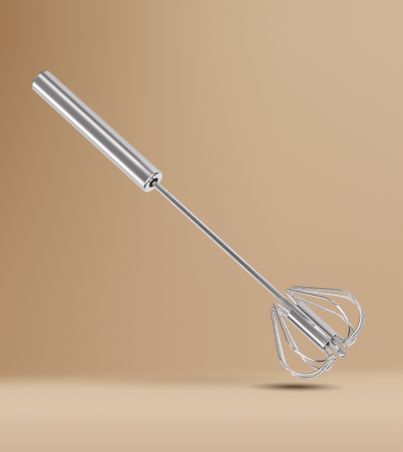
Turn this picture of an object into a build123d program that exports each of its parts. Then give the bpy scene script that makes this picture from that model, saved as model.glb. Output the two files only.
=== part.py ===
from build123d import *
import os

# Push-down rotary egg beater.  Pushing the handle down slides it over the rod; a twisted strip fixed in
# the handle then turns the rod and the wire head, and a spring lifts the handle again.
# Millimetres.  +Z runs along the axis from the foot to the handle, and the origin is the foot's lowest point.

# Overall sizes
total_length = 300.0
handle_length = 122.5
cage_radius = 31.7           # widest point of a wire's centre line
push_travel = 60.0           # how far the handle slides down over the rod
strip_lead = 30.0            # travel for one turn of the head

# Clearances and fits
running_clearance = 0.05     # shaft in a bearing, on the radius
slot_clearance = 0.15        # twisted strip in its slot, each side
face_gap = 0.2               # between faces that turn against each other

# Handle tube and its cap
handle_radius = 8.8
handle_wall = 0.6
handle_edge_radius = 1.2
lip_hole_radius = 4.15
lip_hole_edge = 0.3
cap_height = 1.4             # cap above the tube's upper end
cap_skirt_length = 5.0
cap_skirt_wall = 1.0

# Rod and its bearing in the handle
rod_radius = 2.3
rod_wall = 0.5
bush_length = 12.0
bush_recess_radius = 5.4
bush_recess_depth = 3.0
retaining_ring_thickness = 1.0
retaining_ring_width = 1.6
bumper_thickness = 3.0
bumper_width = 3.6

# Drive: twisted strip, slotted nut on the rod, thrust washer, return spring
strip_width = 3.0
strip_thickness = 0.9
strip_below_nut = 4.0        # strip that already stands inside the rod at rest
nut_radius = 5.2
nut_socket_depth = 4.2
nut_web = 2.8
thrust_washer_radius = 7.5
thrust_washer_thickness = 1.0
washer_bore_radius = 2.4
spring_wire_radius = 0.45
spring_radius = 6.8          # to the wire's centre
top_washer_thickness = 0.8
plug_length = 6.0
anchor_pin_radius = 0.75
anchor_pin_inset = 0.5       # pin's ends below the plug's rim

# Head: sleeve, two notched discs and the wire loops
sleeve_radius = 7.4
sleeve_wall = 0.6
sleeve_length = 31.0
sleeve_bottom = 12.7
disc_thickness = 4.0
disc_recess = 2.2            # disc below the sleeve's edge
loop_count = 10
first_loop_angle = 18.0
wire_radius = 0.8
wire_sleeve_gap = 0.3        # wire to the sleeve's bore
wire_end_gap = 2.0           # between a loop's two ends inside the sleeve
kink_inset = 1.0             # where a wire starts to splay, inside the sleeve's edge
splay_radius = 8.0           # distance from the axis of a wire's corners above and below the sleeve
crown_height = 53.9          # wire's centre line over the shoulder
crown_outer = 10.8
shoulder_height = 25.8       # where the slanting leg would meet the upright one
floor_height = 4.8           # wire's centre line along the bottom
kink_bend = 6.0
crown_inner_bend = 1.2
crown_outer_bend = 1.6
shoulder_bend = 17.0
base_outer_bend = 15.2
base_inner_bend = 1.5

# Foot
foot_height = 5.0
foot_dome = 1.5
foot_dimple_radius = 0.45
foot_dimple_depth = 0.5
foot_bush_length = 6.0
foot_pin_radius = 1.0
foot_pin_floor = 1.3         # metal left under the pin
foot_pin_head_radius = 1.5
foot_pin_head_thickness = 0.8

# Heights that follow from the sizes above, upwards from the foot
rod_bottom = foot_height + face_gap
sleeve_top = sleeve_bottom + sleeve_length
sleeve_bore = sleeve_radius - sleeve_wall
wire_circle = sleeve_bore - wire_sleeve_gap - wire_radius
handle_bottom = total_length - handle_length
tube_bore = handle_radius - handle_wall
bush_bottom = handle_bottom + handle_wall
ring_bottom = bush_bottom + bush_length
bumper_bottom = ring_bottom + retaining_ring_thickness
nut_bottom = bumper_bottom + bumper_thickness + face_gap
rod_top = nut_bottom + nut_socket_depth
nut_top = rod_top + nut_web
thrust_washer_bottom = nut_top + running_clearance
spring_bottom = thrust_washer_bottom + thrust_washer_thickness + running_clearance
tube_top = total_length - cap_height
plug_top = tube_top - cap_skirt_length
plug_bottom = plug_top - plug_length
top_washer_bottom = plug_bottom - top_washer_thickness
spring_top = top_washer_bottom - running_clearance
spring_closed_length = spring_top - spring_bottom - push_travel
spring_turns = int(spring_closed_length / (2 * spring_wire_radius) - 1)     # coils that touch at full travel
strip_bottom = rod_top - strip_below_nut
anchor_pin_height = (plug_bottom + plug_top) / 2


def cylinder(radius, bottom, top):
    """Upright cylinder on the axis between two heights."""
    return Pos(0, 0, bottom) * Cylinder(radius, top - bottom, align=(Align.CENTER, Align.CENTER, Align.MIN))


def ring(outer, inner, bottom, top):
    """Upright tube or washer on the axis between two heights."""
    return cylinder(outer, bottom, top) - cylinder(inner, bottom, top)


def round_edge(solid, radius_at, height, fillet_radius):
    """Fillet the circular edge of one radius at one height."""
    edges = [
        edge
        for edge in solid.edges().filter_by(GeomType.CIRCLE)
        if abs(edge.radius - radius_at) < 1e-4 and abs(edge.center().Z - height) < 1e-4
    ]
    return fillet(edges, fillet_radius)


def strip_angle(height):
    """Angle of the twisted strip at a height, in degrees: a right-hand twist."""
    return 360.0 * (height - strip_bottom) / strip_lead


def twisted_bar(width, thickness, bottom, top):
    """Rectangular bar on the axis that twists with the strip's lead between two heights."""
    section = Rot(0, 0, strip_angle(bottom)) * Rectangle(width, thickness)
    return Solid.extrude_linear_with_rotation(
        Pos(0, 0, bottom) * section.face(),
        (0, 0, bottom),
        (0, 0, top - bottom),
        strip_angle(top) - strip_angle(bottom),
    )


def strip_slot(bottom, top):
    """Space cut for the strip through a piece between two heights."""
    wide = strip_width + 2 * slot_clearance
    thick = strip_thickness + 2 * slot_clearance
    return twisted_bar(wide, thick, bottom, top)


# Handle

def handle_tube():
    """Drawn tube whose lower end is rolled in to a flat lip with a hole for the rod."""
    body = cylinder(handle_radius, handle_bottom, tube_top)
    body = round_edge(body, handle_radius, handle_bottom, handle_edge_radius)
    hollow = cylinder(tube_bore, bush_bottom, tube_top)
    hollow = round_edge(hollow, tube_bore, bush_bottom, handle_edge_radius - handle_wall)
    body = body - hollow - cylinder(lip_hole_radius, handle_bottom, bush_bottom)
    return round_edge(body, lip_hole_radius, handle_bottom, lip_hole_edge)


def handle_end_cap():
    """Domed-edge cap with a skirt pressed into the tube."""
    top = cylinder(handle_radius, tube_top, total_length)
    top = round_edge(top, handle_radius, total_length, handle_edge_radius)
    return top + ring(tube_bore, tube_bore - cap_skirt_wall, plug_top, tube_top)


def guide_bush():
    """Nylon bearing for the rod, with a recess behind the lip's hole."""
    body = cylinder(tube_bore, bush_bottom, ring_bottom)
    body = round_edge(body, tube_bore, bush_bottom, handle_edge_radius - handle_wall)
    body = body - cylinder(rod_radius + running_clearance, bush_bottom, ring_bottom)
    return body - cylinder(bush_recess_radius, bush_bottom, bush_bottom + bush_recess_depth)


def bush_retaining_ring():
    """Steel ring pressed in above the bush."""
    return ring(tube_bore, tube_bore - retaining_ring_width, ring_bottom, bumper_bottom)


def bumper_ring():
    """Rubber ring that the nut comes to rest on."""
    return ring(tube_bore, tube_bore - bumper_width, bumper_bottom, bumper_bottom + bumper_thickness)


def strip_anchor_plug():
    """Plug under the cap that holds the strip's upper end, drilled for its cross pin."""
    body = cylinder(tube_bore, plug_bottom, plug_top) - strip_slot(plug_bottom, plug_top)
    return body - anchor_pin()


def anchor_pin():
    """Cross pin through the plug and the strip, square to the strip's flat."""
    pin = Cylinder(anchor_pin_radius, 2 * (tube_bore - anchor_pin_inset), rotation=(90, 0, 0))
    return Pos(0, 0, anchor_pin_height) * Rot(0, 0, strip_angle(anchor_pin_height)) * pin


def spiral_strip():
    """Twisted steel strip from inside the rod up to the anchor plug, with a hole for the cross pin."""
    return twisted_bar(strip_width, strip_thickness, strip_bottom, plug_top) - anchor_pin()


def spring_top_washer():
    """Washer between the spring's fixed upper end and the plug."""
    return ring(thrust_washer_radius, washer_bore_radius, top_washer_bottom, plug_bottom)


def return_spring():
    """Compression spring between the two washers, guided by the tube."""
    height = spring_top - spring_bottom - 2 * spring_wire_radius
    path = Helix(height / spring_turns, height, spring_radius, center=(0, 0, spring_bottom + spring_wire_radius))
    section = Plane(origin=path @ 0, z_dir=path % 0) * Circle(spring_wire_radius)
    return sweep(section, path=path, is_frenet=True)


# What slides without turning

def thrust_washer():
    """Washer that carries the spring on the nut, so the spring doesn't turn."""
    top = thrust_washer_bottom + thrust_washer_thickness
    return ring(thrust_washer_radius, washer_bore_radius, thrust_washer_bottom, top)


# What slides and turns

def drive_rod():
    """Hollow rod from the foot to the nut."""
    return ring(rod_radius, rod_radius - rod_wall, rod_bottom, rod_top)


def drive_nut():
    """Slotted nut pressed over the rod's upper end; the strip runs through its web."""
    body = cylinder(nut_radius, nut_bottom, nut_top) - cylinder(rod_radius, nut_bottom, rod_top)
    return body - strip_slot(rod_top, nut_top)


def head_sleeve():
    """Plain tube over the wires' ends."""
    return ring(sleeve_radius, sleeve_bore, sleeve_bottom, sleeve_top)


def loop_angles():
    """Directions of the loops round the axis, in degrees."""
    return [first_loop_angle + index * 360.0 / loop_count for index in range(loop_count)]


def hub_disc(bottom):
    """Disc that is fixed on the rod and holds the wires in notches round its rim."""
    top = bottom + disc_thickness
    body = ring(sleeve_bore, rod_radius, bottom, top)
    for angle in loop_angles():
        hole = Pos(wire_circle, 0, 0) * cylinder(wire_radius, bottom, top)
        mouth_length = sleeve_bore - wire_circle
        mouth = Box(mouth_length, 2 * wire_radius, disc_thickness, align=(Align.MIN, Align.CENTER, Align.MIN))
        mouth = Pos(wire_circle, 0, bottom) * mouth
        body = body - Rot(0, 0, angle) * (hole + mouth)
    return body


def wire_path():
    """Centre line of one loop in the XZ plane: both ends inside the sleeve, straight runs joined by arcs."""
    middle = (sleeve_bottom + sleeve_top) / 2
    points = [
        (wire_circle, 0, middle + wire_end_gap / 2),
        (wire_circle, 0, sleeve_top - kink_inset),
        (splay_radius, 0, crown_height),
        (crown_outer, 0, crown_height),
        (cage_radius, 0, shoulder_height),
        (cage_radius, 0, floor_height),
        (splay_radius, 0, floor_height),
        (wire_circle, 0, sleeve_bottom + kink_inset),
        (wire_circle, 0, middle - wire_end_gap / 2),
    ]
    bends = [
        kink_bend,
        crown_inner_bend,
        crown_outer_bend,
        shoulder_bend,
        base_outer_bend,
        base_inner_bend,
        kink_bend,
    ]
    return FilletPolyline(*points, radius=bends)


def wire_loop(angle):
    """One round wire bent to the loop's outline and turned to its place round the axis."""
    path = wire_path()
    section = Plane(origin=path @ 0, z_dir=path % 0) * Circle(wire_radius)
    return Rot(0, 0, angle) * sweep(section, path=path)


def foot_bush():
    """Bearing pressed into the rod's lower end for the foot's pin."""
    return ring(rod_radius - rod_wall, foot_pin_radius + running_clearance, rod_bottom, rod_bottom + foot_bush_length)


# Foot, which stands still on the bowl while the rod turns

def foot_cap():
    """Domed foot of the rod's own diameter, bored for its pin, with a small dimple underneath."""
    body = cylinder(rod_radius, 0, foot_height)
    body = round_edge(body, rod_radius, 0, foot_dome)
    body = body - cylinder(foot_pin_radius, foot_pin_floor, foot_height)
    return body - cylinder(foot_dimple_radius, 0, foot_dimple_depth)


def foot_pin():
    """Headed pin fixed in the foot; its head stands over the bush and keeps the foot on."""
    head_bottom = rod_bottom + foot_bush_length + face_gap
    shank = cylinder(foot_pin_radius, foot_pin_floor, head_bottom)
    return shank + cylinder(foot_pin_head_radius, head_bottom, head_bottom + foot_pin_head_thickness)


def all_parts():
    """Every sub-part by its node name."""
    parts = {
        "handle_tube": handle_tube(),
        "handle_end_cap": handle_end_cap(),
        "guide_bush": guide_bush(),
        "bush_retaining_ring": bush_retaining_ring(),
        "bumper_ring": bumper_ring(),
        "strip_anchor_plug": strip_anchor_plug(),
        "anchor_pin": anchor_pin(),
        "spiral_strip": spiral_strip(),
        "spring_top_washer": spring_top_washer(),
        "return_spring": return_spring(),
        "thrust_washer": thrust_washer(),
        "drive_nut": drive_nut(),
        "drive_rod": drive_rod(),
        "head_sleeve": head_sleeve(),
        "upper_hub_disc": hub_disc(sleeve_top - disc_recess - disc_thickness),
        "lower_hub_disc": hub_disc(sleeve_bottom + disc_recess),
        "foot_bush": foot_bush(),
        "foot_cap": foot_cap(),
        "foot_pin": foot_pin(),
    }
    for index, angle in enumerate(loop_angles()):
        parts[f"wire_loop_{index + 1:02d}"] = wire_loop(angle)
    return parts


os.makedirs("parts", exist_ok=True)
for name, shape in all_parts().items():
    export_step(shape, f"parts/{name}.step")
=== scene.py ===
import math

import bpy
from mathutils import Matrix, Vector


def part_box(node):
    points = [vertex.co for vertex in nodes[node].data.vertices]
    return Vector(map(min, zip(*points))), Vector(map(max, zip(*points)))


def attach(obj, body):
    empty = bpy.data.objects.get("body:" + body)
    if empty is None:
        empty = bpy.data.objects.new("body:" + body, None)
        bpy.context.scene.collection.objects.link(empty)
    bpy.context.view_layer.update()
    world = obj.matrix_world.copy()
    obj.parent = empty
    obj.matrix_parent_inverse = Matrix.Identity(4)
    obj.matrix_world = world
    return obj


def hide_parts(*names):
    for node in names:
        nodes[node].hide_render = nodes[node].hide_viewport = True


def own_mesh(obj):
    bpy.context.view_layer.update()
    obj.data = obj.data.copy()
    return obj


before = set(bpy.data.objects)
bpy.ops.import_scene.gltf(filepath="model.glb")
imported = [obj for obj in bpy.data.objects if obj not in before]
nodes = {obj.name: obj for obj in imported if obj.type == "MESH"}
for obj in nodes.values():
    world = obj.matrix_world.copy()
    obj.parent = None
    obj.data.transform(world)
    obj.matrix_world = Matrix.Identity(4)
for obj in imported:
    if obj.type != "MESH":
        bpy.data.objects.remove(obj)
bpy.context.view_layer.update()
mm = 0.001
print("frame loaded:", len(nodes), "nodes")


# Small tools

def linearColor(hexText):  # sRGB hex to the linear colour a shader socket takes
    channels = [int(hexText[i:i + 2], 16) / 255 for i in (0, 2, 4)]
    return [c / 12.92 if c <= 0.04045 else ((c + 0.055) / 1.055) ** 2.4 for c in channels] + [1.0]


def addNode(tree, kind, settings=None, inputs=None):
    node = tree.nodes.new(kind)
    for name, value in (settings or {}).items():
        setattr(node, name, value)
    for name, value in (inputs or {}).items():
        if isinstance(value, bpy.types.NodeSocket):
            tree.links.new(value, node.inputs[name])
        else:
            node.inputs[name].default_value = value
    return node


# Places of a Mix node's sockets when it mixes colours
mixShare, mixUnder, mixOver, mixColor = 0, 6, 7, 2


def fillRamp(node, stops):  # stops are (place, colour), from 0 to 1
    ramp = node.color_ramp
    while len(ramp.elements) > 1:
        ramp.elements.remove(ramp.elements[-1])
    ramp.elements[0].position, ramp.elements[0].color = stops[0]
    for place, color in stops[1:]:
        ramp.elements.new(place).color = color


def nodeHeights(name):
    low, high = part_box(name)
    return low.z, high.z


def nodeRadius(name):
    low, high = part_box(name)
    return (high.x - low.x) / 2


# Turned pieces: a circle is drawn out ring by ring to the profile, as on a lathe

mergeReach = 0.0005 * mm     # vertices nearer than this become one
ringReach = 0.02 * mm        # a vertex this near to a ring is on it
roundSteps = 8               # steps of a rounded end
smallSteps = 4               # steps of a small round
edgeSteps = 2                # steps of an edge that is only broken


def startRing(name, radius, height, sides):
    bpy.ops.object.select_all(action="DESELECT")
    bpy.ops.mesh.primitive_circle_add(vertices=sides, radius=radius, location=(0, 0, height))
    piece = bpy.context.object
    piece.name = name
    piece.data.name = name
    bpy.ops.object.transform_apply(location=True, rotation=True, scale=True)
    bpy.ops.object.mode_set(mode="EDIT")
    bpy.ops.mesh.select_mode(type="EDGE")
    bpy.ops.mesh.select_all(action="SELECT")
    return piece


def drawRing(start, end):  # extrudes the selected ring from one (radius, height) to the next
    bpy.ops.mesh.extrude_region_move(TRANSFORM_OT_translate={"value": (0, 0, end[1] - start[1])})
    growth = end[0] / start[0]
    bpy.ops.transform.resize(value=(growth, growth, 1), center_override=(0, 0, end[1]))


def selectRings(piece, rings):  # selects the edges that lie round the axis at these (radius, height) places
    bpy.ops.object.mode_set(mode="OBJECT")
    onRing = []
    for vertex in piece.data.vertices:
        radius = math.hypot(vertex.co.x, vertex.co.y)
        near = [r for r in rings if abs(radius - r[0]) < ringReach and abs(vertex.co.z - r[1]) < ringReach]
        onRing.append(bool(near))
    for face in piece.data.polygons:
        face.select = False
    for vertex in piece.data.vertices:
        vertex.select = False
    for edge in piece.data.edges:
        a, b = (piece.data.vertices[i].co for i in edge.vertices)
        level = abs(a.z - b.z) < ringReach
        even = abs(math.hypot(a.x, a.y) - math.hypot(b.x, b.y)) < ringReach
        edge.select = level and even and all(onRing[i] for i in edge.vertices)
    bpy.ops.object.mode_set(mode="EDIT")
    bpy.ops.mesh.select_mode(type="EDGE")


def bevelRing(piece, ring, width, segments):
    selectRings(piece, [ring])
    bpy.ops.mesh.bevel(offset=width, segments=segments, affect="EDGES")


def fillRing(piece, ring, inset):  # closes an end with a flat face that has a narrow rim of quads
    selectRings(piece, [ring])
    bpy.ops.mesh.edge_face_add()
    bpy.ops.mesh.select_mode(type="FACE")
    bpy.ops.mesh.inset(thickness=inset)
    bpy.ops.mesh.poke()


def endPiece(piece, body, cadNode, smoothAngle=35):
    bpy.ops.object.mode_set(mode="EDIT")
    bpy.ops.mesh.select_all(action="SELECT")
    bpy.ops.mesh.remove_doubles(threshold=mergeReach)
    bpy.ops.mesh.normals_make_consistent(inside=False)
    bpy.ops.object.mode_set(mode="OBJECT")
    bpy.ops.object.shade_smooth_by_angle(angle=math.radians(smoothAngle))
    # The large faces lead the normals, so that a bevel doesn't bend the shine on a long face
    weighted = piece.modifiers.new("evenNormals", "WEIGHTED_NORMAL")
    weighted.weight = 100
    weighted.keep_sharp = True
    bpy.ops.object.modifier_apply(modifier=weighted.name)
    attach(piece, body)
    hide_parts(cadNode)


def turnedPiece(name, profile, sides, closed):
    piece = startRing(name, profile[0][0], profile[0][1], sides)
    for start, end in zip(profile, profile[1:]):
        drawRing(start, end)
    if closed:
        selectRings(piece, [profile[0], profile[-1]])
        bpy.ops.mesh.bridge_edge_loops()
    return piece


# Camera: low and to the front, the object leaning with its handle to the upper left

cameraSheet = {
    "aim": (0, 0, 129.9),        # mm, on the axis
    "distance": 675.6,           # mm
    "turn": -92.2,               # degrees round the axis
    "climb": 20.8,               # degrees, looking up along the handle
    "roll": 47.8,                # degrees
    "lens": 80.04,               # mm
    "sensor": 36,                # mm
    "nearest": 10,               # mm from the camera that is still seen
}


def cameraAxes():
    turn, climb, roll = (math.radians(cameraSheet[k]) for k in ("turn", "climb", "roll"))
    level = Vector((-math.cos(turn), -math.sin(turn), 0))
    look = level * math.cos(climb) + Vector((0, 0, math.sin(climb)))
    side = level.cross(Vector((0, 0, 1)))
    rise = side.cross(look)
    right = side * math.cos(roll) - rise * math.sin(roll)
    up = side * math.sin(roll) + rise * math.cos(roll)
    return right, up, look


def frameAt(place, right, up, look):
    matrix = Matrix((right, up, -look)).transposed().to_4x4()
    matrix.translation = place
    return matrix


def makeCamera():
    right, up, look = cameraAxes()
    place = Vector(cameraSheet["aim"]) * mm - look * cameraSheet["distance"] * mm
    data = bpy.data.cameras.new("camera")
    camera = bpy.data.objects.new("camera", data)
    bpy.context.scene.collection.objects.link(camera)
    camera.matrix_world = frameAt(place, right, up, look)
    data.sensor_width = cameraSheet["sensor"]
    data.lens = cameraSheet["lens"]
    data.clip_start = cameraSheet["nearest"] * mm
    bpy.context.scene.camera = camera
    print("camera made")


makeCamera()


# Light: a neutral studio of soft boxes and dark screens, as rings of bands that polished steel mirrors.
# Each ring fades in between two elevations, in degrees. A band is (degrees from the camera towards +X,
# brightness from 0 to 1). The camera itself sees the plain wall colour beyond the board.

lightSheet = {
    "strength": 1.75,
    "wall": "c5a787",
    "rings": [
        {"name": "ground", "fade": None,
         "bands": [(-180, 0.04), (-110, 0.04), (-66, 0.10), (-40, 0.75), (40, 0.75), (66, 0.10), (110, 0.04),
                   (180, 0.04)]},
        {"name": "low boxes", "fade": (-42, -33),
         "bands": [(-180, 0.62), (-148, 0.55), (-114, 0.45), (-104, 0.05), (-68, 0.05), (-57, 0.72),
                   (-38, 0.98), (-16, 0.90), (2, 0.60), (12, 0.56), (28, 0.80), (42, 0.95), (57, 0.70),
                   (68, 0.05), (104, 0.05), (114, 0.45), (148, 0.55), (180, 0.62)]},
        {"name": "boxes at the foot", "fade": (2, 6),
         "bands": [(-180, 0.42), (-135, 0.60), (-115, 0.95), (-30, 0.95), (-16, 0.22), (0, 0.15), (44, 0.17),
                   (58, 0.34), (76, 0.56), (110, 0.52), (180, 0.42)]},
        {"name": "screens at the head", "fade": (10.0, 10.9),
         "bands": [(-180, 0.40), (-140, 0.50), (-122, 0.45), (-115, 0.08), (-94, 0.05), (-84, 0.62),
                   (-76, 0.92), (-64, 0.86), (-55, 0.20), (-30, 0.15), (-14, 0.15), (0, 0.34), (16, 0.42),
                   (30, 0.52), (42, 0.58), (48, 0.08), (60, 0.08), (76, 0.42), (97, 0.52), (130, 0.47),
                   (180, 0.40)]},
        {"name": "screens at the rod", "fade": (14, 16.5),
         "bands": [(-180, 0.42), (-130, 0.55), (-90, 0.75), (-68, 0.66), (-54, 0.20), (-44, 0.08),
                   (-22, 0.08), (-4, 0.17), (12, 0.11), (22, 0.07), (44, 0.07), (54, 0.12), (66, 0.66),
                   (78, 0.88), (95, 0.80), (130, 0.54), (180, 0.42)]},
        {"name": "boxes at the handle's end", "fade": (24.1, 24.8),
         "bands": [(-180, 0.38), (-143, 0.50), (-116, 0.44), (-97, 0.47), (-88, 0.95), (-68, 0.92),
                   (-56, 0.34), (-44, 0.19), (-17, 0.17), (-2, 0.18), (6, 0.25), (17, 0.55), (26, 1.0),
                   (40, 0.95), (50, 0.34), (58, 0.14), (70, 0.12), (80, 0.34), (94, 0.52), (116, 0.52),
                   (143, 0.42), (180, 0.38)]},
        {"name": "boxes at the handle", "fade": (25.2, 28),
         "bands": [(-180, 0.38), (-143, 0.50), (-116, 0.44), (-97, 0.47), (-88, 0.95), (-68, 0.92),
                   (-56, 0.34), (-44, 0.19), (-17, 0.17), (-2, 0.18), (6, 0.25), (17, 0.46), (27, 0.80),
                   (38, 0.72), (48, 0.30), (56, 0.15), (70, 0.13), (80, 0.34), (94, 0.52), (116, 0.50),
                   (143, 0.40), (180, 0.38)]},
        {"name": "high boxes", "fade": (35, 40),
         "bands": [(-180, 0.04), (-110, 0.04), (-60, 0.05), (-30, 0.30), (30, 0.30), (60, 0.05), (110, 0.04),
                   (180, 0.04)]},
        {"name": "ceiling", "fade": (68, 84), "bands": [(-180, 0.30), (180, 0.30)]},
    ],
}


def makeWorld():
    world = bpy.data.worlds.new("studio")
    bpy.context.scene.world = world
    world.use_nodes = True
    tree = world.node_tree
    tree.nodes.clear()
    ray = addNode(tree, "ShaderNodeTexCoord").outputs["Generated"]
    turned = addNode(tree, "ShaderNodeMapping", None,
                     {"Vector": ray, "Rotation": (0, 0, -math.radians(cameraSheet["turn"]))})
    around = addNode(tree, "ShaderNodeTexGradient", {"gradient_type": "RADIAL"},
                     {"Vector": turned.outputs["Vector"]})
    height = addNode(tree, "ShaderNodeSeparateXYZ", None, {"Vector": ray}).outputs["Z"]
    light = None
    for ring in lightSheet["rings"]:
        bands = addNode(tree, "ShaderNodeValToRGB", None, {"Fac": around.outputs["Fac"]})
        fillRamp(bands, [((degrees + 180) / 360, (level, level, level, 1))
                         for degrees, level in ring["bands"]])
        if light is None:
            light = bands.outputs["Color"]
            continue
        start, end = (math.sin(math.radians(degrees)) for degrees in ring["fade"])
        share = addNode(tree, "ShaderNodeMapRange", {"interpolation_type": "SMOOTHSTEP"},
                        {"Value": height, "From Min": start, "From Max": end})
        mixed = addNode(tree, "ShaderNodeMix", {"data_type": "RGBA"},
                        {mixShare: share.outputs["Result"], mixUnder: light, mixOver: bands.outputs["Color"]})
        light = mixed.outputs[mixColor]
    studio = addNode(tree, "ShaderNodeBackground", None, {"Color": light, "Strength": lightSheet["strength"]})
    wall = addNode(tree, "ShaderNodeBackground", None, {"Color": linearColor(lightSheet["wall"])})
    seen = addNode(tree, "ShaderNodeLightPath").outputs["Is Camera Ray"]
    shown = addNode(tree, "ShaderNodeMixShader", None,
                    {0: seen, 1: studio.outputs["Background"], 2: wall.outputs["Background"]})
    addNode(tree, "ShaderNodeOutputWorld", None, {"Surface": shown.outputs["Shader"]})
    print("studio light made")


makeWorld()
bpy.context.scene.view_settings.view_transform = "Standard"


# Backdrop: a pale floor under the head that curves up into a plain wall

backdropSheet = {
    "width": 1600,               # mm
    "floorDepth": 640,           # mm from the camera to the floor under the head
    "floorDrop": 102.6,          # mm below the line of sight there
    "floorTilt": -3.7,           # degrees
    "floorFront": 330,           # mm of floor towards the camera
    "wallDepth": 860,            # mm from the camera
    "wallHeight": 900,           # mm
    "coveRadius": 60,            # mm
    "coveSteps": 16,
    "smoothAngle": 30,           # degrees
    # Painted shadows: the faint shade under the head and the dark spot in it, with place and size in mm, and
    # how much at most
    "shades": [{"place": (-4, 688), "size": (115, 85), "color": "a9835c", "most": 0.42},
               {"place": (60, 642), "size": (37, 40), "color": "604830", "most": 1.0}],
    "upperWall": [(0, "a17a55"), (0.3, "ba9875"), (0.5, "c6aa89"), (0.7, "cdb393"), (1, "cfb798")],
    "lowerWall": [(0, "b38f6b"), (0.3, "be9d7c"), (0.5, "c4a484"), (0.7, "c7a989"), (1, "c8a98a")],
    "floor": [(0, "d0b69e"), (0.2, "d5bca3"), (0.4, "dac4ab"), (0.75, "d8c1a5"), (1, "d6be9f")],
    "wallHalf": 170,             # mm of wall each side over which its tone changes
    "wallSpan": (-60, 160),      # mm of height over which it changes
    "floorSpan": (390, 700),     # mm from the camera over which the floor's tone changes
    "cornerSpan": (640, 790),    # mm from the camera over which the floor turns to wall
    "cornerSlant": 0.28,         # mm that this lies further away for each mm to the right
    "sideFade": (210, 330),      # mm each side over which the board fades into the plain surroundings
    "topFade": (215, 330),       # mm of height over which it fades
    "frontFade": (375, 320),     # mm from the camera over which it fades
}


def backdropMaterial():
    # Glowing board whose tones are painted light: a slow change of tone, darker towards the upper left, the
    # floor lighter than the wall, and painted shadows under the head
    sheet = backdropSheet
    material = bpy.data.materials.new("glowingBoardPaintedLight")
    material.use_nodes = True
    tree = material.node_tree
    tree.nodes.clear()
    place = addNode(tree, "ShaderNodeTexCoord").outputs["Object"]
    axes = addNode(tree, "ShaderNodeSeparateXYZ", None, {"Vector": place})

    spans = {                    # axis, start and end in mm, and how the share eases between them
        "across": ("X", -sheet["wallHalf"], sheet["wallHalf"], "LINEAR"),
        "upwards": ("Y", *sheet["wallSpan"], "LINEAR"),
        "away": ("Z", *(-depth for depth in sheet["floorSpan"]), "LINEAR"),
        "rightEdge": ("X", *sheet["sideFade"], "SMOOTHSTEP"),
        "leftEdge": ("X", *(-side for side in sheet["sideFade"]), "SMOOTHSTEP"),
        "topEdge": ("Y", *sheet["topFade"], "SMOOTHSTEP"),
        "frontEdge": ("Z", *(-depth for depth in sheet["frontFade"]), "SMOOTHSTEP"),
    }
    shares = {}
    for name, (axis, start, end, ease) in spans.items():
        share = addNode(tree, "ShaderNodeMapRange", {"interpolation_type": ease},
                        {"Value": axes.outputs[axis], "From Min": start * mm, "From Max": end * mm})
        shares[name] = share.outputs["Result"]
    tones = {}
    for name, span in (("lowerWall", "across"), ("upperWall", "across"), ("floor", "away")):
        ramp = addNode(tree, "ShaderNodeValToRGB", None, {"Fac": shares[span]})
        fillRamp(ramp, [(stop, linearColor(color)) for stop, color in sheet[name]])
        tones[name] = ramp.outputs["Color"]

    slanted = addNode(tree, "ShaderNodeMath", {"operation": "MULTIPLY_ADD"},
                      {0: axes.outputs["X"], 1: sheet["cornerSlant"], 2: axes.outputs["Z"]})
    near, far = (depth * mm for depth in sheet["cornerSpan"])
    turned = addNode(tree, "ShaderNodeMapRange", {"interpolation_type": "SMOOTHSTEP"},
                     {"Value": slanted.outputs["Value"], "From Min": -far, "From Max": -near})
    layers = [(shares["upwards"], tones["upperWall"]), (turned.outputs["Result"], tones["floor"])]
    # Painted shadows under the head, laid over the tones as darker colour
    for shade in sheet["shades"]:
        wide, deep = (size * mm for size in shade["size"])
        side, depth = shade["place"]
        centre = Vector((side, -sheet["floorDrop"], -depth)) * mm
        around = addNode(tree, "ShaderNodeMapping", {"vector_type": "TEXTURE"},
                         {"Vector": place, "Location": centre, "Scale": (wide, 1, deep)})
        falloff = addNode(tree, "ShaderNodeTexGradient", {"gradient_type": "SPHERICAL"},
                          {"Vector": around.outputs["Vector"]})
        dark = addNode(tree, "ShaderNodeMapRange", {"interpolation_type": "SMOOTHSTEP"},
                       {"Value": falloff.outputs["Fac"], "To Max": shade["most"]})
        layers.append((dark.outputs["Result"], linearColor(shade["color"])))
    for name in ("rightEdge", "leftEdge", "topEdge", "frontEdge"):
        layers.append((shares[name], linearColor(lightSheet["wall"])))
    color = tones["lowerWall"]
    for share, over in layers:
        mixed = addNode(tree, "ShaderNodeMix", {"data_type": "RGBA"},
                        {mixShare: share, mixUnder: color, mixOver: over})
        color = mixed.outputs[mixColor]

    # It glows by itself with this painted light and shade, so nothing darkens it, and is clear from behind,
    # so it hides nothing
    glow = addNode(tree, "ShaderNodeEmission", None, {"Color": color})
    clear = addNode(tree, "ShaderNodeBsdfTransparent")
    behind = addNode(tree, "ShaderNodeNewGeometry").outputs["Backfacing"]
    shown = addNode(tree, "ShaderNodeMixShader", None,
                    {0: behind, 1: glow.outputs["Emission"], 2: clear.outputs["BSDF"]})
    addNode(tree, "ShaderNodeOutputMaterial", None, {"Surface": shown.outputs["Shader"]})
    return material


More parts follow.
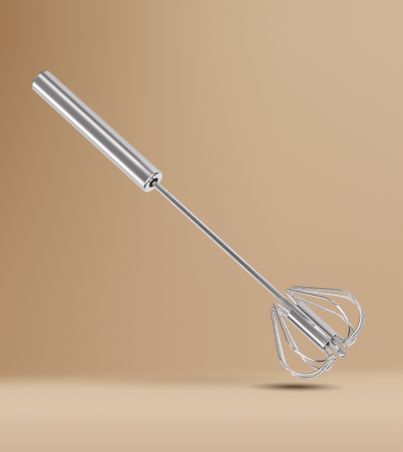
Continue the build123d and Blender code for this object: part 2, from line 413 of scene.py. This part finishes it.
def makeBackdrop():
    sheet = backdropSheet
    tilt = math.tan(math.radians(sheet["floorTilt"]))
    front, back = sheet["floorDepth"] - sheet["floorFront"], sheet["wallDepth"]
    atWall = -0.99 * back * mm   # a vertex beyond this is in the wall
    drop = {depth: -sheet["floorDrop"] + (depth - sheet["floorDepth"]) * tilt for depth in (front, back)}
    bpy.ops.object.select_all(action="DESELECT")
    bpy.ops.mesh.primitive_plane_add(size=1)
    board = bpy.context.object
    board.name = "backdrop"
    corners = {(-1, -1): (front, drop[front]), (1, -1): (front, drop[front]),
               (-1, 1): (back, drop[back]), (1, 1): (back, drop[back])}
    for vertex in board.data.vertices:
        side, end = (1 if value > 0 else -1 for value in vertex.co.xy)
        depth, height = corners[side, end]
        vertex.co = Vector((side * sheet["width"] / 2, height, -depth)) * mm
    bpy.ops.object.mode_set(mode="EDIT")
    bpy.ops.mesh.select_mode(type="EDGE")
    bpy.ops.object.mode_set(mode="OBJECT")
    for edge in board.data.edges:
        edge.select = all(board.data.vertices[i].co.z < atWall for i in edge.vertices)
    for item in [*board.data.polygons, *board.data.vertices]:
        item.select = False
    for edge in board.data.edges:
        for i in edge.vertices:
            board.data.vertices[i].select = board.data.vertices[i].select or edge.select
    bpy.ops.object.mode_set(mode="EDIT")
    bpy.ops.mesh.extrude_region_move(TRANSFORM_OT_translate={"value": (0, sheet["wallHeight"] * mm, 0)})
    bpy.ops.object.mode_set(mode="OBJECT")
    for edge in board.data.edges:
        ends = [board.data.vertices[i].co for i in edge.vertices]
        edge.select = all(end.z < atWall and end.y < 0 for end in ends)
    bpy.ops.object.mode_set(mode="EDIT")
    bpy.ops.mesh.select_mode(type="EDGE")
    bpy.ops.mesh.bevel(offset=sheet["coveRadius"] * mm, segments=sheet["coveSteps"], affect="EDGES")
    bpy.ops.object.mode_set(mode="OBJECT")
    camera = bpy.context.scene.camera
    board.matrix_world = camera.matrix_world.copy()
    bpy.ops.object.shade_smooth_by_angle(angle=math.radians(sheet["smoothAngle"]))
    board.data.materials.append(backdropMaterial())
    for ray in ("diffuse", "glossy", "transmission", "volume_scatter", "shadow"):
        setattr(board, "visible_" + ray, False)
    print("backdrop made")


makeBackdrop()


# Materials. Colours are sRGB hex; grain, smudge, grit and flow are sizes in mm, and depth is the bump's
# height in mm. Haze is the roughness that a smudge adds at most.

grainNoise = {"Scale": 1.0, "Detail": 3.0, "Roughness": 0.6}
smudgeNoise = {"Detail": 4.0, "Roughness": 0.65, "Distortion": 0.4}
gritNoise = {"Detail": 3.0, "Roughness": 0.7}
grainSpan = (0.3, 0.7)       # part of the grain's noise that is spread over the roughness
smudgeSpan = (0.48, 0.72)    # part of the smudge's noise over which it shows


def makeMetal(sheet):
    material = bpy.data.materials.new(sheet["name"])
    material.use_nodes = True
    tree = material.node_tree
    tree.nodes.clear()
    coordinates = addNode(tree, "ShaderNodeTexCoord")
    place = coordinates.outputs["Object"]
    # A wire's grain follows its own map, whose span is its size in mm, and any other grain the object's axes
    along, span = (coordinates.outputs["UV"], sheet["span"]) if "span" in sheet else (place, [1 / mm] * 3)
    lines = addNode(tree, "ShaderNodeMapping", None,
                    {"Vector": along, "Scale": [full / size for full, size in zip(span, sheet["grain"])]})
    grain = addNode(tree, "ShaderNodeTexNoise", None, {"Vector": lines.outputs["Vector"], **grainNoise})
    smudge = addNode(tree, "ShaderNodeTexNoise", None,
                     {"Vector": place, "Scale": 1 / (sheet["smudge"] * mm), **smudgeNoise})
    fine = addNode(tree, "ShaderNodeMapRange", None,
                   {"Value": grain.outputs["Fac"], "From Min": grainSpan[0], "From Max": grainSpan[1],
                    "To Min": sheet["roughness"][0], "To Max": sheet["roughness"][1]})
    broad = addNode(tree, "ShaderNodeMapRange", None,
                    {"Value": smudge.outputs["Fac"], "From Min": smudgeSpan[0], "From Max": smudgeSpan[1],
                     "To Max": sheet["haze"]})
    rough = addNode(tree, "ShaderNodeMath", {"operation": "ADD", "use_clamp": True},
                    {0: fine.outputs["Result"], 1: broad.outputs["Result"]})
    tint = addNode(tree, "ShaderNodeMix", {"data_type": "RGBA"},
                   {mixShare: smudge.outputs["Fac"], mixUnder: linearColor(sheet["color"]),
                    mixOver: linearColor(sheet["dull"])})
    bump = addNode(tree, "ShaderNodeBump", None,
                   {"Height": grain.outputs["Fac"], "Distance": sheet["depth"] * mm, "Strength": 1.0})
    metal = addNode(tree, "ShaderNodeBsdfPrincipled", None,
                    {"Base Color": tint.outputs[mixColor], "Metallic": 1.0,
                     "Roughness": rough.outputs["Value"], "Normal": bump.outputs["Normal"]})
    addNode(tree, "ShaderNodeOutputMaterial", None, {"Surface": metal.outputs["BSDF"]})
    return material


def makeMoulded(sheet):
    material = bpy.data.materials.new(sheet["name"])
    material.use_nodes = True
    tree = material.node_tree
    tree.nodes.clear()
    place = addNode(tree, "ShaderNodeTexCoord").outputs["Object"]
    grit = addNode(tree, "ShaderNodeTexNoise", None,
                   {"Vector": place, "Scale": 1 / (sheet["grit"] * mm), **gritNoise})
    flow = addNode(tree, "ShaderNodeTexNoise", None, {"Vector": place, "Scale": 1 / (sheet["flow"] * mm)})
    tint = addNode(tree, "ShaderNodeMix", {"data_type": "RGBA"},
                   {mixShare: flow.outputs["Fac"], mixUnder: linearColor(sheet["color"]),
                    mixOver: linearColor(sheet["dull"])})
    rough = addNode(tree, "ShaderNodeMapRange", None,
                    {"Value": grit.outputs["Fac"], "To Min": sheet["roughness"][0],
                     "To Max": sheet["roughness"][1]})
    bump = addNode(tree, "ShaderNodeBump", None,
                   {"Height": grit.outputs["Fac"], "Distance": sheet["depth"] * mm, "Strength": 1.0})
    skin = addNode(tree, "ShaderNodeBsdfPrincipled", None,
                   {"Base Color": tint.outputs[mixColor], "Roughness": rough.outputs["Result"],
                    "IOR": sheet["ior"], "Normal": bump.outputs["Normal"]})
    addNode(tree, "ShaderNodeOutputMaterial", None, {"Surface": skin.outputs["BSDF"]})
    return material


# Drawn stainless tube, polished along its length: mirrors its surroundings in long stripes, with a faint
# lengthwise grain. The real lines are about 0.05 mm apart and are drawn coarser, so that they show.
drawnTube = makeMetal({"name": "polishedStainlessTube", "color": "d9d5d6", "dull": "ccc8c9",
                       "grain": (0.35, 0.35, 22), "depth": 0.0004, "roughness": (0.08, 0.15),
                       "smudge": 12, "haze": 0.04})

# Stainless sleeve of the head: the same tube, polished brighter
brightSleeve = makeMetal({"name": "brightStainlessSleeve", "color": "dbd7d8", "dull": "d0cccd",
                          "grain": (0.3, 0.3, 30), "depth": 0.0002, "roughness": (0.05, 0.09),
                          "smudge": 7, "haze": 0.04})

# Centreless-ground stainless rod: very fine lines round it, rubbed bright by the bush
groundRod = makeMetal({"name": "groundStainlessRod", "color": "d2cecf", "dull": "c0bcbd",
                       "grain": (2.5, 2.5, 0.25), "depth": 0.0002, "roughness": (0.10, 0.16),
                       "smudge": 9, "haze": 0.06})

# Bright-drawn stainless wire: smooth and shiny from the die, with faint lines along it, which follow the
# wire's own map, and slightly dulled in places
drawnWire = makeMetal({"name": "brightDrawnWire", "color": "e8e5e6", "dull": "d4d1d2", "span": (5, 150, 1),
                       "grain": (0.25, 8, 1), "depth": 0.0001, "roughness": (0.06, 0.12),
                       "smudge": 6, "haze": 0.05})

# Hard-drawn spring wire with a thin film of grease
springWire = makeMetal({"name": "greasedSpringWire", "color": "a9a8a5", "dull": "8d8b86",
                        "grain": (0.3, 0.3, 0.3), "depth": 0.001, "roughness": (0.22, 0.34),
                        "smudge": 5, "haze": 0.10})

# Turned and pressed mild steel, zinc plated: soft grey shine with fine tool lines
platedSteel = makeMetal({"name": "zincPlatedTurnedSteel", "color": "b4b6b8", "dull": "96989a",
                         "grain": (3.0, 3.0, 0.2), "depth": 0.002, "roughness": (0.26, 0.40),
                         "smudge": 4, "haze": 0.10})

# Cold-rolled stainless strip, twisted: satin, burnished where the nut runs on it
rolledStrip = makeMetal({"name": "coldRolledStrip", "color": "bab9b7", "dull": "a3a19e",
                         "grain": (0.25, 0.25, 6), "depth": 0.0015, "roughness": (0.18, 0.30),
                         "smudge": 8, "haze": 0.08})

# Moulded grey nylon: fine matt grain, slight sheen
greyNylon = makeMoulded({"name": "mouldedGreyNylon", "color": "8c898a", "dull": "7c797a", "grit": 0.15,
                          "flow": 6, "depth": 0.006, "roughness": (0.38, 0.55), "ior": 1.53})

# Moulded nitrile rubber: deep black, nearly without shine
blackRubber = makeMoulded({"name": "mouldedNitrileRubber", "color": "121212", "dull": "1c1b1a", "grit": 0.12,
                           "flow": 4, "depth": 0.010, "roughness": (0.65, 0.85), "ior": 1.52})

# The inner pieces keep their CAD shape and only take a material
carriedOver = {
    "guide_bush": greyNylon, "foot_bush": greyNylon, "bumper_ring": blackRubber,
    "bush_retaining_ring": platedSteel, "strip_anchor_plug": platedSteel, "anchor_pin": platedSteel,
    "spring_top_washer": platedSteel, "thrust_washer": platedSteel, "drive_nut": platedSteel,
    "upper_hub_disc": platedSteel, "lower_hub_disc": platedSteel, "foot_pin": platedSteel,
    "spiral_strip": rolledStrip,
}
for name, material in carriedOver.items():
    nodes[name].data.materials.clear()
    nodes[name].data.materials.append(material)
print("materials made")


# Handle tube: its lower end is rolled in to a flat lip, with a hole for the rod

handleSheet = {
    "sides": 96,
    "wall": 0.6,                 # mm
    "edge": 1.2,                 # mm, outer radius of the rolled end
    "holeRadius": 4.15,          # mm
    "holeEdge": 0.3,             # mm
    "mouthEdge": 0.12,           # mm, at the joint with the cap
}


def makeHandle():
    low, high = nodeHeights("handle_tube")
    outer = nodeRadius("handle_tube")
    wall, hole = handleSheet["wall"] * mm, handleSheet["holeRadius"] * mm
    edge, holeEdge, mouthEdge = (handleSheet[k] * mm for k in ("edge", "holeEdge", "mouthEdge"))
    profile = [(outer, high), (outer, low), (hole, low), (hole, low + wall), (outer - wall, low + wall),
               (outer - wall, high)]
    piece = turnedPiece("handleTube", profile, handleSheet["sides"], closed=True)
    bevelRing(piece, (outer, low), edge, roundSteps)
    bevelRing(piece, (outer - wall, low + wall), edge - wall, smallSteps)
    bevelRing(piece, (hole, low), holeEdge, smallSteps)
    bevelRing(piece, (outer, high), mouthEdge, edgeSteps)
    endPiece(piece, "handle", "handle_tube")
    piece.data.materials.append(drawnTube)


# End cap: a flat top with a rounded edge, and a skirt inside the tube

capSheet = {
    "sides": 96,
    "skirtLength": 5.0,          # mm
    "skirtWall": 1.0,            # mm
    "edge": 1.2,                 # mm
    "jointEdge": 0.12,           # mm
    "skirtEdge": 0.2,            # mm
    "rim": 1.0,                  # mm of quads round a closed end
}


def makeCap():
    low, high = nodeHeights("handle_end_cap")
    outer = nodeRadius("handle_end_cap")
    joint = low + capSheet["skirtLength"] * mm
    bore = outer - handleSheet["wall"] * mm
    inside = bore - capSheet["skirtWall"] * mm
    profile = [(inside, joint), (inside, low), (bore, low), (bore, joint), (outer, joint), (outer, high)]
    piece = turnedPiece("endCap", profile, capSheet["sides"], closed=False)
    fillRing(piece, (inside, joint), capSheet["rim"] * mm)
    fillRing(piece, (outer, high), capSheet["edge"] * mm + capSheet["rim"] * mm)
    bevelRing(piece, (outer, high), capSheet["edge"] * mm, roundSteps)
    bevelRing(piece, (outer, joint), capSheet["jointEdge"] * mm, edgeSteps)
    bevelRing(piece, (bore, low), capSheet["skirtEdge"] * mm, edgeSteps)
    endPiece(piece, "handle", "handle_end_cap")
    piece.data.materials.append(drawnTube)


# Rod and sleeve: plain tubes with deburred ends, in mm

rodSheet = {"sides": 48, "wall": 0.5, "edge": 0.12}
sleeveSheet = {"sides": 96, "wall": 0.6, "edge": 0.15}


def makeTube(name, cadNode, sheet, material):
    low, high = nodeHeights(cadNode)
    outer = nodeRadius(cadNode)
    inner = outer - sheet["wall"] * mm
    profile = [(outer, high), (outer, low), (inner, low), (inner, high)]
    piece = turnedPiece(name, profile, sheet["sides"], closed=True)
    for ring in profile:
        bevelRing(piece, ring, sheet["edge"] * mm, edgeSteps)
    endPiece(piece, "beater", cadNode)
    piece.data.materials.append(material)


# Foot: a domed tip of the rod's own diameter, with a small dimple and a bore for its pin

footSheet = {
    "sides": 48,
    "dome": 1.5,                 # mm
    "dimpleRadius": 0.45,        # mm
    "dimpleDepth": 0.5,          # mm
    "boreRadius": 1.0,           # mm
    "floor": 1.3,                # mm of metal under the bore
    "edge": 0.12,                # mm
    "domeSteps": 10,
    "rimShare": 0.25,            # of a radius, rim of quads round a closed end
}


def makeFoot():
    low, high = nodeHeights("foot_cap")
    outer = nodeRadius("foot_cap")
    dimple, depth = footSheet["dimpleRadius"] * mm, footSheet["dimpleDepth"] * mm
    bore, floor = footSheet["boreRadius"] * mm, footSheet["floor"] * mm
    rimShare = footSheet["rimShare"]
    profile = [(dimple, low + depth), (dimple, low), (outer, low), (outer, high), (bore, high),
               (bore, low + floor)]
    piece = turnedPiece("footCap", profile, footSheet["sides"], closed=False)
    fillRing(piece, (dimple, low + depth), dimple * rimShare)
    fillRing(piece, (bore, low + floor), bore * rimShare)
    bevelRing(piece, (outer, low), footSheet["dome"] * mm, footSheet["domeSteps"])
    bevelRing(piece, (outer, high), footSheet["edge"] * mm, edgeSteps)
    endPiece(piece, "foot", "foot_cap")
    piece.data.materials.append(groundRod)


makeHandle()
makeCap()
makeTube("driveRod", "drive_rod", rodSheet, groundRod)
makeTube("headSleeve", "head_sleeve", sleeveSheet, brightSleeve)
makeFoot()
print("handle, rod, sleeve and foot made")


# Wire loops: one wire bent to its outline, then copied round the axis

wireSheet = {
    "radius": 0.8,               # mm
    "insideRadius": 5.7,         # mm from the axis, inside the sleeve
    "endGap": 2.0,               # mm between a wire's two ends
    "kinkInset": 1.0,            # mm inside the sleeve's edge
    "splayRadius": 8.0,          # mm from the axis, at the corners above and below the sleeve
    "crownHeight": 53.9,         # mm
    "crownOuter": 10.8,          # mm from the axis
    "cageRadius": 31.7,          # mm from the axis
    "shoulderHeight": 25.8,      # mm
    "floorHeight": 4.8,          # mm
    "bends": [6, 1.2, 1.6, 17, 15.2, 1.5, 6],    # mm, radius of each corner from the top down
    "firstAngle": 18,            # degrees
    "resolution": 10,            # steps along each stretch
    "sides": 4,                  # steps in a quarter of the wire's round
    "smoothAngle": 50,           # degrees
}


def wireCorners():
    sheet = wireSheet
    low, high = nodeHeights("head_sleeve")
    middle = (low + high) / 2 / mm
    inside, outside = sheet["insideRadius"], sheet["cageRadius"]
    return [(inside, middle + sheet["endGap"] / 2), (inside, high / mm - sheet["kinkInset"]),
            (sheet["splayRadius"], sheet["crownHeight"]), (sheet["crownOuter"], sheet["crownHeight"]),
            (outside, sheet["shoulderHeight"]), (outside, sheet["floorHeight"]),
            (sheet["splayRadius"], sheet["floorHeight"]), (inside, low / mm + sheet["kinkInset"]),
            (inside, middle - sheet["endGap"] / 2)]


def bentRoute(corners, bends):  # (point, handle before, handle after) for a curve that rounds each corner
    corners = [Vector((x, 0, z)) * mm for x, z in corners]
    route = [(corners[0], corners[0], corners[0])]
    for before, corner, after, bend in zip(corners, corners[1:], corners[2:], bends):
        arriving, leaving = (before - corner).normalized(), (after - corner).normalized()
        turn = math.pi - arriving.angle(leaving)
        reach = bend * mm * math.tan(turn / 2)
        handle = bend * mm * 4 / 3 * math.tan(turn / 4)    # which makes a curve run as a round arc
        start, end = corner + arriving * reach, corner + leaving * reach
        route.append((start, start, start - arriving * handle))
        route.append((end, end - leaving * handle, end))
    route.append((corners[-1], corners[-1], corners[-1]))
    return route


def makeWires():
    route = bentRoute(wireCorners(), wireSheet["bends"])
    bpy.ops.object.select_all(action="DESELECT")
    bpy.ops.curve.primitive_bezier_curve_add()
    wire = bpy.context.object
    spline = wire.data.splines[0]
    spline.bezier_points.add(len(route) - 2)
    for point, (place, before, after) in zip(spline.bezier_points, route):
        point.handle_left_type = point.handle_right_type = "FREE"
        point.co, point.handle_left, point.handle_right = place, before, after
    wire.data.resolution_u = wireSheet["resolution"]
    wire.data.bevel_depth = wireSheet["radius"] * mm
    wire.data.bevel_resolution = wireSheet["sides"]
    wire.data.use_fill_caps = True
    bpy.ops.object.convert(target="MESH")
    wire = bpy.context.object
    bpy.ops.object.transform_apply(location=True, rotation=True, scale=True)
    loops = sorted(name for name in nodes if name.startswith("wire_loop"))
    for index, cadNode in enumerate(loops):
        angle = math.radians(wireSheet["firstAngle"] + index * 360 / len(loops))
        piece = wire if index == len(loops) - 1 else wire.copy()
        if piece is not wire:
            piece.data = wire.data.copy()
            bpy.context.scene.collection.objects.link(piece)
        bpy.ops.object.select_all(action="DESELECT")
        piece.select_set(True)
        bpy.context.view_layer.objects.active = piece
        piece.rotation_euler.z = angle
        bpy.ops.object.transform_apply(location=False, rotation=True, scale=False)
        piece.name = f"wireLoop{index + 1:02d}"
        piece.data.name = piece.name
        endPiece(piece, "beater", cadNode, smoothAngle=wireSheet["smoothAngle"])
        piece.data.materials.append(drawnWire)


makeWires()
print("wires made")


# Return spring: open coils with closed, ground ends. It shortens as the handle goes down.

springSheet = {
    "turns": 26,
    "endTurns": 1.2,             # turns at each end that lie close
    "wireRadius": 0.45,          # mm
    "radius": 6.8,               # mm, to the wire's centre
    "pointsPerTurn": 20,
    "order": 3,                  # points that each stretch of the curve leans on
    "resolution": 2,             # steps along each stretch
    "sides": 2,                  # steps in a quarter of the wire's round
    "grind": 0.2,                # mm taken off each end coil
    "travelKept": 0.2887,        # share of its length left at full push
}


def springRise(turn):  # share of the open coils' height that is reached after this many turns
    total, closed = springSheet["turns"], springSheet["endTurns"]
    return min(max((turn - closed) / (total - 2 * closed), 0.0), 1.0)


def makeSpring():
    low, high = nodeHeights("return_spring")
    wireRadius, grind = springSheet["wireRadius"] * mm, springSheet["grind"] * mm
    turns, endTurns = springSheet["turns"], springSheet["endTurns"]
    closedRise = 2 * wireRadius * endTurns
    bottom, top = low + wireRadius - grind, high - wireRadius + grind
    reach = springSheet["radius"] * mm
    bpy.ops.object.select_all(action="DESELECT")
    bpy.ops.curve.primitive_nurbs_path_add()
    spring = bpy.context.object
    spring.data.splines.clear()
    spline = spring.data.splines.new("NURBS")
    spline.points.add(turns * springSheet["pointsPerTurn"])
    for index, point in enumerate(spline.points):
        turn = index / springSheet["pointsPerTurn"]
        ends = min(turn, endTurns) + max(0, turn - turns + endTurns)
        height = bottom + ends * 2 * wireRadius + springRise(turn) * (top - bottom - 2 * closedRise)
        angle = 2 * math.pi * turn
        point.co = (reach * math.cos(angle), reach * math.sin(angle), height, 1)
    spline.order_u = springSheet["order"]
    spline.use_endpoint_u = True
    spring.data.resolution_u = springSheet["resolution"]
    spring.data.bevel_depth = wireRadius
    spring.data.bevel_resolution = springSheet["sides"]
    spring.data.use_fill_caps = True
    bpy.ops.object.convert(target="MESH")
    spring = bpy.context.object
    bpy.ops.object.transform_apply(location=True, rotation=True, scale=True)
    spring.name = "returnSpring"
    spring.data.name = "returnSpring"
    for height, upper in ((low, False), (high, True)):
        bpy.ops.object.mode_set(mode="EDIT")
        bpy.ops.mesh.select_all(action="SELECT")
        bpy.ops.mesh.bisect(plane_co=(0, 0, height), plane_no=(0, 0, 1), use_fill=True,
                            clear_inner=not upper, clear_outer=upper)
        bpy.ops.object.mode_set(mode="OBJECT")
    endPiece(spring, "handle", "return_spring")
    spring.data.materials.append(springWire)
    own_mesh(spring)
    print("spring made")


makeSpring()
